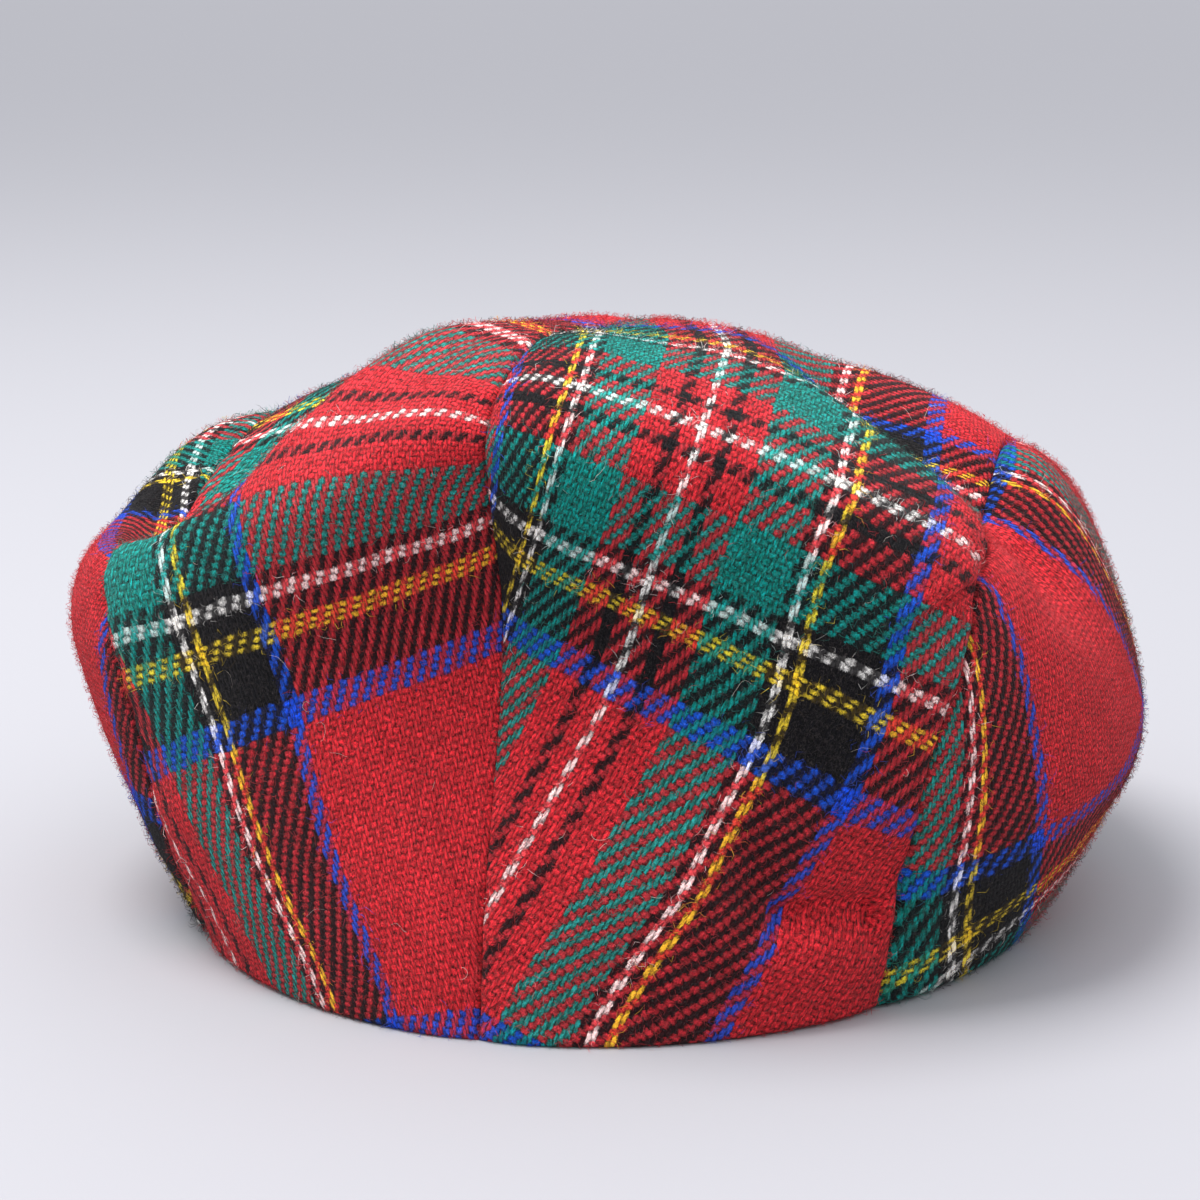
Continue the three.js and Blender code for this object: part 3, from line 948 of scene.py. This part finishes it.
# Lengths in millimetres, curl in radians a millimetre.
nap = {
    "seed": 11,
    "count": {"cloth_top_left": 47000, "cloth_top_right": 47000, "cloth_side_left": 21500,
              "cloth_side_right": 21500, "cloth_peak": 9000},
    # rise is how far the fibres stand off the cloth
    "short": {"steps": 2, "length": (0.8, 3.2), "width": 0.08, "curl": 0.8, "rise": (0.05, 1.4)},
    "loose": {"steps": 14, "length": (2, 7), "width": 0.05, "curl": 0.6, "rise": (0.3, 1.6)},
    "looseOnEach": 100, "looseColour": "cfc3b8", "looseRoughness": 0.8,
    "mostlyLow": 2.2,           # power that keeps most fibres near the cloth
    "arch": (1.6, 3.3),         # radians of a sine from root to tip
    "archEnd": 2.6,             # no fibre bends back further than this
    "rooted": 0.12,             # how deep the root is in the cloth
    "roll": 0.9,                # how unevenly the strips are turned about their length
    "rootWidth": 1.05,          # over the width, less a power of the share of its length
    "taper": 3,
    "lowest": 0.1,              # above the floor
}


# Places spread evenly over the outer face of a piece, with their normals and thread counts.
def scatter(piece, count, dice):
    mesh = piece.data
    points = getPoints(mesh)
    mesh.calc_loop_triangles()
    tris = readAll(mesh.loop_triangles, "vertices", 3, np.int32)
    corners = readAll(mesh.loop_triangles, "loops", 3, np.int32)
    outside = (tris < len(points) // 2).all(axis=1)
    tris, corners = tris[outside], corners[outside]
    uv = readAll(mesh.uv_layers.active.data, "uv", 2)
    a, b, c = np.moveaxis(points[tris], 1, 0)
    face = np.cross(b - a, c - a)
    area = np.linalg.norm(face, axis=1)
    chosen = dice.choice(len(tris), count, p=area / area.sum())
    share = dice.dirichlet((1, 1, 1), count)[..., None]
    root = (points[tris[chosen]] * share).sum(axis=1)
    return root, face[chosen] / area[chosen, None], (uv[corners[chosen]] * share).sum(axis=1)


# Thin curling strips of one kind that start in the cloth.
def fibres(name, count, kind, roots, dice):
    steps, curl = kind["steps"], kind["curl"]
    bpy.ops.object.select_all(action="DESELECT")
    bpy.ops.mesh.primitive_grid_add(x_subdivisions=1, y_subdivisions=steps, size=1)
    piece = bpy.context.object
    piece.name = name
    copies = piece.modifiers.new("copies", "ARRAY")
    copies.count = count
    copies.use_relative_offset = False
    bpy.ops.object.modifier_apply(modifier="copies")
    mesh = piece.data
    each = getPoints(mesh)[:2 * (steps + 1)]
    side = np.sign(each[:, 0])
    row = np.rint((each[:, 1] + 0.5) * steps).astype(int)

    # the middle line of each strip
    root, normal, counts = roots
    across = np.cross(normal, dice.normal(size=(count, 3)))
    across /= np.linalg.norm(across, axis=1, keepdims=True)
    ahead = np.cross(normal, across)
    reach = dice.uniform(*kind["length"], count) * mm / steps
    turn = dice.normal(0, curl, (count, steps + 1)) + dice.normal(0, curl, (count, 1))
    heading = np.cumsum(turn, axis=1) * reach[:, None] / mm
    low, high = kind["rise"]
    lift = low + (high - low) * dice.random(count) ** nap["mostlyLow"]
    t = np.arange(steps + 1) / steps
    arch = np.minimum(t * dice.uniform(*nap["arch"], (count, 1)), nap["archEnd"])
    height = (lift[:, None] * np.sin(arch) - nap["rooted"]) * mm
    x = np.cumsum(np.cos(heading), axis=1) * reach[:, None]
    y = np.cumsum(np.sin(heading), axis=1) * reach[:, None]
    line = (root[:, None] + across[:, None] * x[..., None] + ahead[:, None] * y[..., None]
            + normal[:, None] * height[..., None])

    # and its two edges
    run = np.gradient(line, axis=1)
    facing = normal[:, None] + nap["roll"] * dice.normal(size=(count, 1, 3))
    broad = np.cross(run, facing)
    broad /= np.linalg.norm(broad, axis=2, keepdims=True) + 1e-12
    half = kind["width"] * mm / 2 * (nap["rootWidth"] - t ** nap["taper"])[None, :, None]
    points = line[:, row] + broad[:, row] * half[:, row] * side[None, :, None]
    points[..., 2] = np.maximum(points[..., 2], nap["lowest"] * mm)
    setPoints(mesh, points.reshape(-1, 3))
    setUv(piece, np.repeat(counts, len(each), axis=0))
    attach(piece, "root")
    return piece


# Gives every piece its nap and the two top panels some longer pale fibres.
def raiseNap():
    dice = np.random.default_rng(nap["seed"])
    fuzz = woolMaterial("woolFuzz", True)
    pale = plainMaterial("paleFibre", nap["looseColour"], nap["looseRoughness"])
    onIt = {}
    for name, piece in cap.items():
        count = nap["count"][name]
        made = fibres(name.replace("cloth", "nap"), count, nap["short"],
                      scatter(piece, count, dice), dice)
        cover(made, fuzz)
        onIt[name] = [made]
    for name in ("cloth_top_left", "cloth_top_right"):
        count = nap["looseOnEach"]
        made = fibres(name.replace("cloth", "lint"), count, nap["loose"],
                      scatter(cap[name], count, dice), dice)
        cover(made, pale)
        onIt[name].append(made)
    return onIt


onIt = raiseNap()
print("nap raised")


studio = {
    "azimuth": 195.57, "elevation": 13, "distance": 560 * mm, "aimHeight": 60 * mm,
    "lens": 81.4, "sensor": 36, "shift": (-0.021, -0.0062),
    "floor": "a5a4a8", "floorSize": 60, "floorRoughness": 0.9,
    "sky": "e3e5ea", "skyLow": 0.12, "skyHigh": 2.4,      # strength at the horizon and overhead
    # the lamp: right, towards the camera, up, size, watts
    "lamp": (-0.5, 0.1, 1.45, 0.8, 25),
}


def addFloor():
    bpy.ops.object.select_all(action="DESELECT")
    bpy.ops.mesh.primitive_plane_add(size=studio["floorSize"])
    floor = bpy.context.object
    floor.name = "floor"
    cover(floor, plainMaterial("paleFloor", studio["floor"], studio["floorRoughness"]))


# A sky that is bright overhead and dim at the horizon.
def addSky():
    world = bpy.data.worlds.new("studio")
    world.use_nodes = True
    sky = world.node_tree.nodes["Background"]
    sky.inputs["Color"].default_value = fromHex(studio["sky"])
    way = addNode(world.node_tree, "ShaderNodeTexCoord")
    rise = addNode(world.node_tree, "ShaderNodeSeparateXYZ", {0: way.outputs["Generated"]})
    bright = addNode(world.node_tree, "ShaderNodeMapRange", {
        0: rise.outputs[2], 1: 0.0, 2: 1.0, 3: studio["skyLow"], 4: studio["skyHigh"]})
    world.node_tree.links.new(bright.outputs[0], sky.inputs["Strength"])
    bpy.context.scene.world = world


# The camera stands behind the cap, and the lamp is placed from it.
def addCameraAndLamp():
    x, y = crown["rimCentre"]
    aim = Vector((x * mm, y * mm, studio["aimHeight"]))
    a, e = math.radians(studio["azimuth"]), math.radians(studio["elevation"])
    back = Vector((math.sin(a) * math.cos(e), -math.cos(a) * math.cos(e), math.sin(e)))
    bpy.ops.object.camera_add(location=aim + back * studio["distance"])
    camera = bpy.context.object
    camera.rotation_mode = "QUATERNION"
    camera.rotation_quaternion = (-back).to_track_quat("-Z", "Y")
    camera.data.sensor_width = studio["sensor"]
    camera.data.lens = studio["lens"]
    camera.data.shift_x, camera.data.shift_y = studio["shift"]
    bpy.context.scene.camera = camera

    side, ahead, up, size, power = studio["lamp"]
    right = Vector((math.cos(a), math.sin(a), 0))
    place = aim + right * side + Vector((back.x, back.y, 0)) * ahead + Vector((0, 0, up))
    bpy.ops.object.light_add(type="AREA", location=place)
    lamp = bpy.context.object
    lamp.data.shape = "DISK"
    lamp.data.size = size
    lamp.data.energy = power
    lamp.rotation_mode = "QUATERNION"
    lamp.rotation_quaternion = (aim - place).to_track_quat("-Z", "Y")


addFloor()
addSky()
addCameraAndLamp()
bpy.context.scene.view_settings.view_transform = "Standard"
print("studio set")
